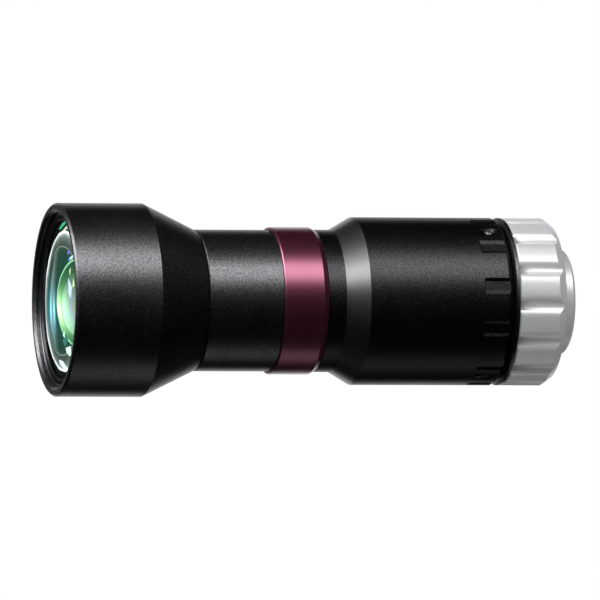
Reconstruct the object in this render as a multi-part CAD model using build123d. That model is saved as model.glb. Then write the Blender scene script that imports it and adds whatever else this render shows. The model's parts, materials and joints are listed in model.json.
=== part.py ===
from build123d import *
import math
import os

# Bi-telecentric lens with a C-mount. All sizes are in millimetres.
# The optical axis is +Z. The front rim lies on Z = 0 and the camera nose points up.
# Angles round the axis are in degrees, counted from +X towards +Y.

# Fits
SLIP = 0.05          # radial clearance of a piece that sits or turns in another
CEMENT = 0.02        # thickness of the cement between two lens elements
END_CLEARANCE = 0.2  # clearance at the end of a spigot that seats elsewhere

# Front group, from the mouth inwards
FRONT_LENS_R = 19.75
FRONT_CLEAR_MARGIN = 2.45
FRONT_LENS_EDGE = 5.5
FRONT_LENS_BULGE = 1.8
FRONT_LENS_BACK_BULGE = 1.0
FRONT_SEAT_WIDTH = 1.15
FRONT_AIR_GAP = 0.7
FRONT_CROWN_EDGE = 2.5
FRONT_CROWN_BULGE = 2.2
FRONT_CEMENT_BULGE = 2.6
FRONT_FLINT_EDGE = 5.3
FRONT_FLINT_HOLLOW = 0.8
FRONT_SHOULDER_WIDTH = 1.95

# Front barrel: filter thread, retaining ring, outer wall, taper and seam
FILTER_DEPTH = 1.5
FILTER_STEP = 0.9
FILTER_MOUTH_CHAMFER = 0.6
FRONT_RING_STEP = 0.55
FRONT_RING_THICKNESS = 0.8
FRONT_RING_WIDTH = 1.2
FRONT_RING_BEVEL = 0.35
FRONT_WALL = 3.55
FRONT_RIM_CHAMFER = 0.5
FRONT_BACK_LAND = 1.78
TAPER_LENGTH = 12.9
SEAM_GAP = 0.3
SEAM_DEPTH = 0.5

# Mid tube and accent ring
MID_BORE_R = 13.4
MID_SPIGOT_WALL = 1.8
MID_SHOULDER = 1.9
MID_WALL = 1.55
MID_LENGTH = 18.6
MID_CHAMFER = 0.3
FRONT_SPIGOT_WALL = 1.7
FRONT_SPIGOT_LENGTH = 5.9
BAFFLE_THICKNESS = 0.6
FRONT_BAFFLE_WIDTH = 3.3
NECK_BAFFLE_WIDTH = 7.2
ACCENT_WALL = 2.55
ACCENT_LENGTH = 10.95
ACCENT_FRONT_CHAMFER = 0.25
ACCENT_REAR_BEVEL = 1.2
ACCENT_REAR_DROP = 0.6

# Rear barrel
NECK_WALL = 1.95
NECK_LENGTH = 4.4
NECK_CHAMFER = 0.2
NECK_ENGAGEMENT = 5.55
NECK_SHOULDER = 1.2
FLARE_LENGTH = 5.35
REAR_LENGTH = 34.55
REAR_CHAMFER = 1.45
REAR_WALL = 2.3
WEB_INSET = 4.2
WEB_THICKNESS = 10.0

# Grip slots and clamp screws near the rear barrel's end
SLOT_COUNT = 12
SLOT_PHASE = 19.0
SLOT_LENGTH = 7.5
SLOT_FLOOR = 2.34
SLOT_FLANK = 0.95
SLOT_DEPTH = 0.45
SCREW_COUNT = 3
SCREW_PHASE = 94.0
SCREW_INSET = 4.6
SCREW_D = 2.4
SCREW_SINK = 0.3
SCREW_HEX = 1.3
SCREW_HEX_DEPTH = 1.1
SCREW_TIP_CLEARANCE = 0.35

# Stop and the lens in front of it, at the front of the rear cell
RELAY_R = 10.95
RELAY_RING_INSET = 0.6
RELAY_RING_THICKNESS = 1.8
RELAY_RING_WIDTH = 1.35
RELAY_EDGE = 2.0
RELAY_BULGE = 0.8
RELAY_HOLLOW = 1.5
RELAY_SEAT_WIDTH = 1.65
RELAY_SPACER_LENGTH = 1.6
STOP_THICKNESS = 0.4
STOP_APERTURE_R = 2.2

# Rear group, at the back of the rear cell
REAR_LENS_R = 10.45
REAR_SHOULDER_WIDTH = 1.95
REAR_SEAT_WIDTH = 0.85
REAR_FLINT_EDGE = 3.5
REAR_FLINT_HOLLOW = 1.0
REAR_CEMENT_BULGE = 1.4
REAR_CROWN_EDGE = 1.5
REAR_CROWN_BULGE = 1.5
REAR_AIR_GAP = 1.0
REAR_LENS_EDGE = 3.0
REAR_LENS_BULGE = 1.0
REAR_LENS_BACK_BULGE = 1.6
EXIT_AIR_GAP = 0.9
EXIT_LENS_EDGE = 2.8
EXIT_LENS_BULGE = 1.0
EXIT_LENS_BACK_BULGE = 0.3
REAR_RING_THICKNESS = 1.5
REAR_RING_WIDTH = 1.05

# Rear cell
CELL_THREAD_WALL = 2.1
CELL_FLANGE_WIDTH = 2.4
CELL_FLANGE = 1.5
CELL_WALL = 2.1
CELL_LIP = 0.18
CELL_RECESS = 6.0
CELL_CHAMFER = 0.3

# Turning camera mount: black sleeve, then silver fluted ring with the threaded nose
MOUNT_GAP = 0.1
SLEEVE_ROOM = 1.05
SLEEVE_WALL = 4.3
SLEEVE_LEAD = 7.2
SLEEVE_CHAMFER = 0.4
SLEEVE_GROOVE_DEPTH = 1.2
SLEEVE_FLANGE = 1.1
SLEEVE_FLANGE_BEVEL = 0.4
SLEEVE_FLANGE_DROP = 1.2
SLEEVE_TAIL_WALL = 2.25
SLEEVE_TAIL_LENGTH = 5.0
RING_LENGTH = 12.0
RING_FRONT_CHAMFER = 0.47
RING_REAR_BEVEL = 2.03
RING_REAR_DROP = 1.5
FLUTE_COUNT = 14
FLUTE_PHASE = -87.3
FLUTE_DEPTH = 0.9
FLUTE_FLOOR_R = 1.9
FLUTE_BLEND_R = 2.4
NOSE_OD = 25.4
NOSE_LENGTH = 4.0
NOSE_WALL = 1.9
NOSE_CHAMFER = 0.6
NOSE_BORE_CHAMFER = 0.3
THROAT_CLEARANCE = 0.8
THROAT_ROOM = 2.2

# Spanner notches across the retaining rings
NOTCH_WIDTH = 1.4
NOTCH_DEPTH = 0.6

# Radii that follow from the sizes above
FRONT_SEAT_R = FRONT_LENS_R - FRONT_SEAT_WIDTH
FRONT_SHOULDER_R = FRONT_LENS_R - FRONT_SHOULDER_WIDTH
FRONT_RING_R = FRONT_LENS_R + FRONT_RING_STEP
FRONT_RING_BORE_R = FRONT_RING_R - FRONT_RING_WIDTH
FILTER_BORE_R = FRONT_RING_R + FILTER_STEP
FRONT_R = FRONT_LENS_R + SLIP + FRONT_WALL
MID_SPIGOT_R = MID_BORE_R + MID_SPIGOT_WALL
MID_R = MID_SPIGOT_R + MID_SHOULDER
FRONT_SPIGOT_R = MID_R - MID_WALL - SLIP
FRONT_SPIGOT_BORE_R = FRONT_SPIGOT_R - FRONT_SPIGOT_WALL
ACCENT_R = MID_SPIGOT_R + SLIP + ACCENT_WALL
NECK_R = MID_SPIGOT_R + SLIP + NECK_WALL
PASSAGE_R = MID_SPIGOT_R - NECK_SHOULDER
RELAY_RING_BORE_R = RELAY_R - RELAY_RING_WIDTH
CELL_THREAD_R = RELAY_R + SLIP + CELL_THREAD_WALL
CELL_FLANGE_R = CELL_THREAD_R + CELL_FLANGE_WIDTH
CELL_PASSAGE_R = REAR_LENS_R - REAR_SHOULDER_WIDTH
CELL_R = REAR_LENS_R + SLIP + CELL_WALL
REAR_SEAT_R = REAR_LENS_R - REAR_SEAT_WIDTH
REAR_RING_BORE_R = REAR_LENS_R - REAR_RING_WIDTH
SLEEVE_BORE_R = CELL_R + SLEEVE_ROOM
SLEEVE_R = SLEEVE_BORE_R + SLEEVE_WALL
SLEEVE_TAIL_R = SLEEVE_BORE_R + SLEEVE_TAIL_WALL
GROOVE_FLOOR_R = SLEEVE_R - SLEEVE_GROOVE_DEPTH
SOCKET_R = SLEEVE_R + SLIP
REAR_R = SOCKET_R + REAR_WALL
THROAT_R = CELL_R + THROAT_CLEARANCE
NOSE_R = NOSE_OD / 2
NOSE_BORE_R = NOSE_R - NOSE_WALL

# Stations along the axis, front group first
Z_FRONT_LENS = FILTER_DEPTH + FRONT_RING_THICKNESS
Z_FRONT_SPACER = Z_FRONT_LENS + FRONT_LENS_EDGE
Z_FRONT_CROWN = Z_FRONT_SPACER + FRONT_LENS_BACK_BULGE + FRONT_AIR_GAP + FRONT_CROWN_BULGE
Z_FRONT_FLINT = Z_FRONT_CROWN + FRONT_CROWN_EDGE + CEMENT
Z_FRONT_SHOULDER = Z_FRONT_FLINT + FRONT_FLINT_EDGE
Z_TAPER = Z_FRONT_SHOULDER + FRONT_BACK_LAND
Z_SEAM = Z_TAPER + TAPER_LENGTH
Z_MID = Z_SEAM + SEAM_GAP
Z_FRONT_BAFFLE = Z_MID + FRONT_SPIGOT_LENGTH
Z_MID_SHOULDER = Z_FRONT_BAFFLE + BAFFLE_THICKNESS
Z_ACCENT = Z_MID + MID_LENGTH
Z_NECK = Z_ACCENT + ACCENT_LENGTH
Z_NECK_BAFFLE = Z_NECK + NECK_ENGAGEMENT
Z_NECK_SHOULDER = Z_NECK_BAFFLE + BAFFLE_THICKNESS
Z_FLARE = Z_NECK + NECK_LENGTH
Z_REAR = Z_FLARE + FLARE_LENGTH
Z_WEB = Z_REAR + WEB_INSET
Z_WEB_REAR = Z_WEB + WEB_THICKNESS
Z_CELL_TAIL = Z_WEB_REAR + CELL_FLANGE
Z_REAR_CHAMFER = Z_REAR + REAR_LENGTH
Z_REAR_FACE = Z_REAR_CHAMFER + REAR_CHAMFER
Z_SCREWS = Z_REAR_FACE - SCREW_INSET
Z_SLEEVE = Z_SCREWS - SLEEVE_LEAD
Z_SLEEVE_FLANGE = Z_REAR_FACE + MOUNT_GAP
Z_RING = Z_SLEEVE_FLANGE + SLEEVE_FLANGE
Z_TAIL_END = Z_RING + SLEEVE_TAIL_LENGTH
Z_FLANGE = Z_RING + RING_LENGTH
Z_END = Z_FLANGE + NOSE_LENGTH

# The lens in front of the stop, then the rear group, placed back from the camera flange
Z_RELAY_RING = Z_WEB + RELAY_RING_INSET
Z_RELAY_LENS = Z_RELAY_RING + RELAY_RING_THICKNESS
Z_RELAY_SPACER = Z_RELAY_LENS + RELAY_EDGE
Z_STOP = Z_RELAY_SPACER + RELAY_SPACER_LENGTH
Z_STOP_SEAT = Z_STOP + STOP_THICKNESS
Z_CELL_END = Z_FLANGE - CELL_RECESS
Z_THROAT = Z_CELL_END + THROAT_ROOM
Z_REAR_RING_FACE = Z_CELL_END - CELL_LIP
Z_REAR_RING = Z_REAR_RING_FACE - REAR_RING_THICKNESS
Z_EXIT_LENS = Z_REAR_RING - EXIT_LENS_EDGE
Z_EXIT_SPACER = Z_EXIT_LENS - EXIT_LENS_BULGE - EXIT_AIR_GAP - REAR_LENS_BACK_BULGE
Z_REAR_LENS = Z_EXIT_SPACER - REAR_LENS_EDGE
Z_REAR_SPACER = Z_REAR_LENS - REAR_LENS_BULGE - REAR_AIR_GAP - REAR_CROWN_BULGE
Z_REAR_CROWN = Z_REAR_SPACER - REAR_CROWN_EDGE
Z_REAR_GROUP = Z_REAR_CROWN - CEMENT - REAR_FLINT_EDGE


def turned(*points):
    """A turned piece: its half section, as points of radius and height, spun about the axis."""
    section = Plane.XZ * make_face(Polyline(*points, close=True))
    return revolve(section, Axis.Z)


def washer(inner_r, outer_r, z_low, z_high):
    """A plain flat ring."""
    return turned((inner_r, z_low), (outer_r, z_low), (outer_r, z_high), (inner_r, z_high))


def sag(bulge, clear_r, r):
    """Drop of a spherical face at radius r, for a face that drops by bulge at clear_r."""
    if bulge == 0:
        return 0.0
    curve_r = (clear_r**2 + bulge**2) / (2 * abs(bulge))
    return math.copysign(curve_r - math.sqrt(curve_r**2 - r**2), bulge)


def element(edge_r, z_front, z_back, front_clear_r, front_bulge, back_clear_r, back_bulge):
    """A lens: flat seats at its edge and a spherical face each side. A positive bulge is convex."""
    front_tip = z_front - front_bulge
    back_tip = z_back + back_bulge
    front_half = front_clear_r / 2
    back_half = back_clear_r / 2
    front_face = ThreePointArc(
        (0, front_tip),
        (front_half, front_tip + sag(front_bulge, front_clear_r, front_half)),
        (front_clear_r, z_front),
    )
    back_face = ThreePointArc(
        (back_clear_r, z_back),
        (back_half, back_tip - sag(back_bulge, back_clear_r, back_half)),
        (0, back_tip),
    )
    corners = [(front_clear_r, z_front), (edge_r, z_front), (edge_r, z_back), (back_clear_r, z_back)]
    rim = [Line(a, b) for a, b in zip(corners, corners[1:]) if a != b]
    axis_line = Line((0, back_tip), (0, front_tip))
    outline = Curve() + [front_face, *rim, back_face, axis_line]
    return revolve(Plane.XZ * make_face(outline), Axis.Z)


def notches(outer_r, z_face, depth):
    """The bar that cuts two spanner notches across a ring's face, opposite each other."""
    low, high = sorted((z_face, z_face + depth))
    bar = Box(2 * outer_r + 2, NOTCH_WIDTH, high - low)
    return Pos(0, 0, (low + high) / 2) * bar


def front_barrel():
    return turned(
        (FILTER_BORE_R + FILTER_MOUTH_CHAMFER, 0),
        (FRONT_R - FRONT_RIM_CHAMFER, 0),
        (FRONT_R, FRONT_RIM_CHAMFER),
        (FRONT_R, Z_TAPER),
        (MID_R, Z_SEAM),
        (MID_R - SEAM_DEPTH, Z_SEAM),
        (MID_R - SEAM_DEPTH, Z_MID),
        (FRONT_SPIGOT_R, Z_MID),
        (FRONT_SPIGOT_R, Z_FRONT_BAFFLE),
        (FRONT_SPIGOT_BORE_R, Z_FRONT_BAFFLE),
        (FRONT_SPIGOT_BORE_R, Z_SEAM),
        (FRONT_SHOULDER_R, Z_TAPER),
        (FRONT_SHOULDER_R, Z_FRONT_SHOULDER),
        (FRONT_LENS_R + SLIP, Z_FRONT_SHOULDER),
        (FRONT_LENS_R + SLIP, Z_FRONT_LENS + SLIP),
        (FRONT_RING_R + SLIP, Z_FRONT_LENS + SLIP),
        (FRONT_RING_R + SLIP, FILTER_DEPTH),
        (FILTER_BORE_R, FILTER_DEPTH),
        (FILTER_BORE_R, FILTER_MOUTH_CHAMFER),
    )


def front_retaining_ring():
    ring = turned(
        (FRONT_RING_BORE_R, Z_FRONT_LENS),
        (FRONT_RING_R, Z_FRONT_LENS),
        (FRONT_RING_R, FILTER_DEPTH),
        (FRONT_RING_BORE_R + FRONT_RING_BEVEL, FILTER_DEPTH),
        (FRONT_RING_BORE_R, FILTER_DEPTH + FRONT_RING_BEVEL),
    )
    return ring - notches(FRONT_RING_R, FILTER_DEPTH, NOTCH_DEPTH)


def front_lens():
    return element(
        FRONT_LENS_R,
        Z_FRONT_LENS,
        Z_FRONT_SPACER,
        FRONT_LENS_R - FRONT_CLEAR_MARGIN,
        FRONT_LENS_BULGE,
        FRONT_SEAT_R,
        FRONT_LENS_BACK_BULGE,
    )


def front_spacer():
    return washer(FRONT_SEAT_R, FRONT_LENS_R, Z_FRONT_SPACER, Z_FRONT_CROWN)


def front_crown():
    return element(
        FRONT_LENS_R,
        Z_FRONT_CROWN,
        Z_FRONT_CROWN + FRONT_CROWN_EDGE,
        FRONT_SEAT_R,
        FRONT_CROWN_BULGE,
        FRONT_LENS_R,
        FRONT_CEMENT_BULGE,
    )


def front_flint():
    return element(
        FRONT_LENS_R,
        Z_FRONT_FLINT,
        Z_FRONT_SHOULDER,
        FRONT_LENS_R,
        -FRONT_CEMENT_BULGE,
        FRONT_SHOULDER_R,
        -FRONT_FLINT_HOLLOW,
    )


def front_baffle():
    bore_r = FRONT_SPIGOT_R - FRONT_BAFFLE_WIDTH
    return washer(bore_r, FRONT_SPIGOT_R, Z_FRONT_BAFFLE, Z_MID_SHOULDER)


def mid_tube():
    return turned(
        (FRONT_SPIGOT_R + SLIP, Z_MID),
        (MID_R - MID_CHAMFER, Z_MID),
        (MID_R, Z_MID + MID_CHAMFER),
        (MID_R, Z_ACCENT),
        (MID_SPIGOT_R, Z_ACCENT),
        (MID_SPIGOT_R, Z_NECK_BAFFLE),
        (MID_BORE_R, Z_NECK_BAFFLE),
        (MID_BORE_R, Z_MID_SHOULDER),
        (FRONT_SPIGOT_R + SLIP, Z_MID_SHOULDER),
    )


def accent_ring():
    return turned(
        (MID_SPIGOT_R + SLIP, Z_ACCENT),
        (ACCENT_R - ACCENT_FRONT_CHAMFER, Z_ACCENT),
        (ACCENT_R, Z_ACCENT + ACCENT_FRONT_CHAMFER),
        (ACCENT_R, Z_NECK - ACCENT_REAR_BEVEL),
        (ACCENT_R - ACCENT_REAR_DROP, Z_NECK),
        (MID_SPIGOT_R + SLIP, Z_NECK),
    )


def neck_baffle():
    bore_r = MID_SPIGOT_R - NECK_BAFFLE_WIDTH
    return washer(bore_r, MID_SPIGOT_R, Z_NECK_BAFFLE, Z_NECK_SHOULDER)


def slot_cutter():
    """One grip slot: flat floor, bevelled sides and a square front end."""
    floor_r = REAR_R - SLOT_DEPTH
    above = REAR_R + SLOT_DEPTH
    half_top = SLOT_FLOOR / 2 + 2 * SLOT_FLANK
    section = Polyline(
        (floor_r, -SLOT_FLOOR / 2),
        (floor_r, SLOT_FLOOR / 2),
        (above, half_top),
        (above, -half_top),
        close=True,
    )
    cutter = extrude(make_face(section), SLOT_LENGTH + SLOT_DEPTH)
    return Pos(0, 0, Z_REAR_FACE - SLOT_LENGTH) * cutter


def round_axis(piece, count, phase):
    """Copies of a piece round the optical axis."""
    return [Rot(0, 0, phase + i * 360 / count) * piece for i in range(count)]


def screw_hole():
    """A radial hole through the rear barrel's wall, along +X before it is turned into place."""
    hole = Cylinder(SCREW_D / 2 + SLIP, 2 * REAR_WALL, rotation=(0, 90, 0))
    return Pos(REAR_R - REAR_WALL / 2, 0, Z_SCREWS) * hole


def rear_barrel():
    body = turned(
        (MID_SPIGOT_R + SLIP, Z_NECK),
        (NECK_R - NECK_CHAMFER, Z_NECK),
        (NECK_R, Z_NECK + NECK_CHAMFER),
        (NECK_R, Z_FLARE),
        (REAR_R, Z_REAR),
        (REAR_R, Z_REAR_CHAMFER),
        (REAR_R - REAR_CHAMFER, Z_REAR_FACE),
        (SOCKET_R, Z_REAR_FACE),
        (SOCKET_R, Z_WEB_REAR),
        (CELL_THREAD_R + SLIP, Z_WEB_REAR),
        (CELL_THREAD_R + SLIP, Z_WEB),
        (PASSAGE_R, Z_WEB),
        (PASSAGE_R, Z_NECK_SHOULDER),
        (MID_SPIGOT_R + SLIP, Z_NECK_SHOULDER),
    )
    cuts = round_axis(slot_cutter(), SLOT_COUNT, SLOT_PHASE)
    cuts += round_axis(screw_hole(), SCREW_COUNT, SCREW_PHASE)
    return body - cuts


def set_screw():
    """One set screw with a hex socket and a cone point, standing along +X."""
    radius = SCREW_D / 2
    outer_end = REAR_R - SCREW_SINK
    tip = GROOVE_FLOOR_R + SCREW_TIP_CLEARANCE
    shank = turned(
        (0, tip),
        (radius, tip + radius),
        (radius, outer_end - SLIP),
        (radius - SLIP, outer_end),
        (0, outer_end),
    )
    hexagon = RegularPolygon(SCREW_HEX / 2, 6, major_radius=False)
    socket = Pos(0, 0, outer_end - SCREW_HEX_DEPTH) * extrude(hexagon, SCREW_HEX_DEPTH)
    return Pos(0, 0, Z_SCREWS) * Rot(0, 90, 0) * (shank - socket)


def set_screws():
    return Compound(round_axis(set_screw(), SCREW_COUNT, SCREW_PHASE))


def rear_cell():
    return turned(
        (RELAY_R + SLIP, Z_WEB),
        (CELL_THREAD_R - CELL_CHAMFER, Z_WEB),
        (CELL_THREAD_R, Z_WEB + CELL_CHAMFER),
        (CELL_THREAD_R, Z_WEB_REAR),
        (CELL_FLANGE_R, Z_WEB_REAR),
        (CELL_FLANGE_R, Z_CELL_TAIL),
        (CELL_R, Z_CELL_TAIL),
        (CELL_R, Z_CELL_END - CELL_CHAMFER),
        (CELL_R - CELL_CHAMFER, Z_CELL_END),
        (REAR_LENS_R + SLIP, Z_CELL_END),
        (REAR_LENS_R + SLIP, Z_REAR_GROUP),
        (CELL_PASSAGE_R, Z_REAR_GROUP),
        (CELL_PASSAGE_R, Z_STOP_SEAT),
        (RELAY_R + SLIP, Z_STOP_SEAT),
    )


def relay_retaining_ring():
    ring = washer(RELAY_RING_BORE_R, RELAY_R, Z_RELAY_RING, Z_RELAY_LENS)
    return ring - notches(RELAY_R, Z_RELAY_RING, NOTCH_DEPTH)


def relay_lens():
    return element(
        RELAY_R,
        Z_RELAY_LENS,
        Z_RELAY_SPACER,
        RELAY_RING_BORE_R,
        RELAY_BULGE,
        RELAY_R - RELAY_SEAT_WIDTH,
        -RELAY_HOLLOW,
    )


def relay_spacer():
    return washer(RELAY_RING_BORE_R, RELAY_R, Z_RELAY_SPACER, Z_STOP)


def stop_disc():
    return washer(STOP_APERTURE_R, RELAY_R, Z_STOP, Z_STOP_SEAT)


def rear_flint():
    return element(
        REAR_LENS_R,
        Z_REAR_GROUP,
        Z_REAR_GROUP + REAR_FLINT_EDGE,
        CELL_PASSAGE_R,
        -REAR_FLINT_HOLLOW,
        REAR_LENS_R,
        -REAR_CEMENT_BULGE,
    )


def rear_crown():
    return element(
        REAR_LENS_R,
        Z_REAR_CROWN,
        Z_REAR_SPACER,
        REAR_LENS_R,
        REAR_CEMENT_BULGE,
        REAR_SEAT_R,
        REAR_CROWN_BULGE,
    )


def rear_spacer():
    return washer(REAR_SEAT_R, REAR_LENS_R, Z_REAR_SPACER, Z_REAR_LENS)


def rear_lens():
    return element(
        REAR_LENS_R,
        Z_REAR_LENS,
        Z_EXIT_SPACER,
        REAR_SEAT_R,
        REAR_LENS_BULGE,
        REAR_SEAT_R,
        REAR_LENS_BACK_BULGE,
    )


def exit_spacer():
    return washer(REAR_SEAT_R, REAR_LENS_R, Z_EXIT_SPACER, Z_EXIT_LENS)


def exit_lens():
    return element(
        REAR_LENS_R,
        Z_EXIT_LENS,
        Z_REAR_RING,
        REAR_SEAT_R,
        EXIT_LENS_BULGE,
        REAR_RING_BORE_R,
        EXIT_LENS_BACK_BULGE,
    )


def rear_retaining_ring():
    ring = washer(REAR_RING_BORE_R, REAR_LENS_R, Z_REAR_RING, Z_REAR_RING_FACE)
    return ring - notches(REAR_LENS_R, Z_REAR_RING_FACE, -NOTCH_DEPTH)


def mount_sleeve():
    """The sleeve turns in the rear barrel, and the clamp screws bear in its V-groove."""
    return turned(
        (SLEEVE_BORE_R, Z_SLEEVE),
        (SLEEVE_R - SLEEVE_CHAMFER, Z_SLEEVE),
        (SLEEVE_R, Z_SLEEVE + SLEEVE_CHAMFER),
        (SLEEVE_R, Z_SCREWS - SLEEVE_GROOVE_DEPTH),
        (GROOVE_FLOOR_R, Z_SCREWS),
        (SLEEVE_R, Z_SCREWS + SLEEVE_GROOVE_DEPTH),
        (SLEEVE_R, Z_SLEEVE_FLANGE),
        (REAR_R - SLEEVE_FLANGE_DROP, Z_SLEEVE_FLANGE),
        (REAR_R, Z_SLEEVE_FLANGE + SLEEVE_FLANGE_BEVEL),
        (REAR_R, Z_RING),
        (SLEEVE_TAIL_R, Z_RING),
        (SLEEVE_TAIL_R, Z_TAIL_END),
        (SLEEVE_BORE_R, Z_TAIL_END),
    )


def fluted_outline():
    """The mount ring's outline seen along the axis: round lands with hollow grip flutes between."""
    flute = Pos(REAR_R - FLUTE_DEPTH + FLUTE_FLOOR_R, 0) * Circle(FLUTE_FLOOR_R)
    outline = Circle(REAR_R) - round_axis(flute, FLUTE_COUNT, FLUTE_PHASE)
    corners = [v for v in outline.vertices() if abs(Vector(v).length - REAR_R) < SLIP]
    return fillet(corners, FLUTE_BLEND_R)


def camera_mount():
    """The silver ring and its threaded nose, turned from one piece and then fluted."""
    socket_r = SLEEVE_TAIL_R + SLIP
    z_socket = Z_TAIL_END + END_CLEARANCE
    ring = turned(
        (socket_r, Z_RING),
        (REAR_R - RING_FRONT_CHAMFER, Z_RING),
        (REAR_R, Z_RING + RING_FRONT_CHAMFER),
        (REAR_R, Z_FLANGE - RING_REAR_BEVEL),
        (REAR_R - RING_REAR_DROP, Z_FLANGE),
        (NOSE_BORE_R, Z_FLANGE),
        (NOSE_BORE_R, Z_THROAT),
        (THROAT_R, Z_THROAT),
        (THROAT_R, z_socket),
        (socket_r, z_socket),
    )
    nose = turned(
        (NOSE_BORE_R, Z_FLANGE),
        (NOSE_R, Z_FLANGE),
        (NOSE_R, Z_END - NOSE_CHAMFER),
        (NOSE_R - NOSE_CHAMFER, Z_END),
        (NOSE_BORE_R + NOSE_BORE_CHAMFER, Z_END),
        (NOSE_BORE_R, Z_END - NOSE_BORE_CHAMFER),
    )
    grip = Pos(0, 0, Z_RING) * extrude(fluted_outline(), RING_LENGTH)
    return (ring & grip) + nose


PIECES = {
    "front_barrel": front_barrel,
    "front_retaining_ring": front_retaining_ring,
    "front_lens": front_lens,
    "front_spacer": front_spacer,
    "front_crown": front_crown,
    "front_flint": front_flint,
    "front_baffle": front_baffle,
    "mid_tube": mid_tube,
    "accent_ring": accent_ring,
    "neck_baffle": neck_baffle,
    "rear_barrel": rear_barrel,
    "set_screws": set_screws,
    "rear_cell": rear_cell,
    "relay_retaining_ring": relay_retaining_ring,
    "relay_lens": relay_lens,
    "relay_spacer": relay_spacer,
    "stop_disc": stop_disc,
    "rear_flint": rear_flint,
    "rear_crown": rear_crown,
    "rear_spacer": rear_spacer,
    "rear_lens": rear_lens,
    "exit_spacer": exit_spacer,
    "exit_lens": exit_lens,
    "rear_retaining_ring": rear_retaining_ring,
    "mount_sleeve": mount_sleeve,
    "camera_mount": camera_mount,
}

os.makedirs("parts", exist_ok=True)
for node, make in PIECES.items():
    export_step(make(), os.path.join("parts", node + ".step"))
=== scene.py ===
import json
import math

import bmesh
import bpy
import numpy as np
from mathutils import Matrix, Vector


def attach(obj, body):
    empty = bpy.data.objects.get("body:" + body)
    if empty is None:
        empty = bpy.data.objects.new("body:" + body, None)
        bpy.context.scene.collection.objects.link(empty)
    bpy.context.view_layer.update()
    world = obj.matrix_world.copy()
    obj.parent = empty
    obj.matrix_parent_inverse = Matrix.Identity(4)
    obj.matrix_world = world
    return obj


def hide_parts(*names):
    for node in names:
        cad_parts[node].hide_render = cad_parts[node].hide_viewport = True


MM = 0.001
FINE_DETAIL = 2.0

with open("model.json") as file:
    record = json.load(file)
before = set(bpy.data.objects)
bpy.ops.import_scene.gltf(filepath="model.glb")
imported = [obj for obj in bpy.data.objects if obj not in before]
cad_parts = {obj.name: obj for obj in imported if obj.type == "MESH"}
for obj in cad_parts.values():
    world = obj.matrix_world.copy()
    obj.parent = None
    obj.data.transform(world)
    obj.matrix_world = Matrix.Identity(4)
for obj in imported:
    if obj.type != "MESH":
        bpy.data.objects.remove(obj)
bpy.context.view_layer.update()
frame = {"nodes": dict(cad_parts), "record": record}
scene = bpy.context.scene


# Small helpers for node materials


def new_material(name):
    mat = bpy.data.materials.new(name)
    mat.use_nodes = True
    mat.node_tree.nodes.clear()
    return mat


def tree_node(tree, kind, inputs=None, **settings):
    """A node with its settings, and its inputs either linked or set."""
    made = tree.nodes.new(kind)
    for key, value in settings.items():
        setattr(made, key, value)
    for key, value in (inputs or {}).items():
        if isinstance(value, bpy.types.NodeSocket):
            tree.links.new(value, made.inputs[key])
        else:
            made.inputs[key].default_value = value
    return made


def node(mat, kind, inputs=None, **settings):
    return tree_node(mat.node_tree, kind, inputs, **settings)


def ramp(mat, fac, stops):
    n = node(mat, "ShaderNodeValToRGB", {"Fac": fac})
    els = n.color_ramp.elements
    while len(els) < len(stops):
        els.new(0.5)
    for el, (pos, value) in zip(els, stops):
        el.position = pos
        el.color = (value, value, value, 1) if isinstance(value, (int, float)) else (*value, 1)
    return n


def noise(mat, scale_mm, roughness=0.5):
    """Noise in object space whose features are about scale_mm across."""
    coord = node(mat, "ShaderNodeTexCoord")
    return node(
        mat,
        "ShaderNodeTexNoise",
        {
            "Vector": coord.outputs["Object"],
            "Scale": 1 / (scale_mm * MM),
            "Detail": FINE_DETAIL,
            "Roughness": roughness,
        },
    )


def math_node(mat, operation, first, second=0.0):
    return node(mat, "ShaderNodeMath", {0: first, 1: second}, operation=operation).outputs[0]


def layered(mat, under, fac, over):
    """One colour laid over another."""
    mix = mat.node_tree.nodes.new("ShaderNodeMix")
    mix.data_type = "RGBA"
    mat.node_tree.links.new(fac, mix.inputs[0])
    for socket, value in ((mix.inputs[6], under), (mix.inputs[7], over)):
        if isinstance(value, bpy.types.NodeSocket):
            mat.node_tree.links.new(value, socket)
        else:
            socket.default_value = (*value, 1)
    return mix.outputs[2]


def spread_about(mat, fac, middle, reach, low=0.3, high=0.7):
    """A noise value stretched to lie about the middle, by as much as reach either way."""
    stretched = node(
        mat,
        "ShaderNodeMapRange",
        {"Value": fac, "From Min": low, "From Max": high, "To Min": middle - reach, "To Max": middle + reach},
    )
    return stretched.outputs["Result"]


GRAIN_PATCH = 40
GRAIN_ROUGHNESS = 0.6
PATCH_REACH = 0.02
DULL_REACH, BRIGHT_REACH = 0.08, 0.04
COAT_IOR, COAT_ROUGH = 1.8, 0.3


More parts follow.
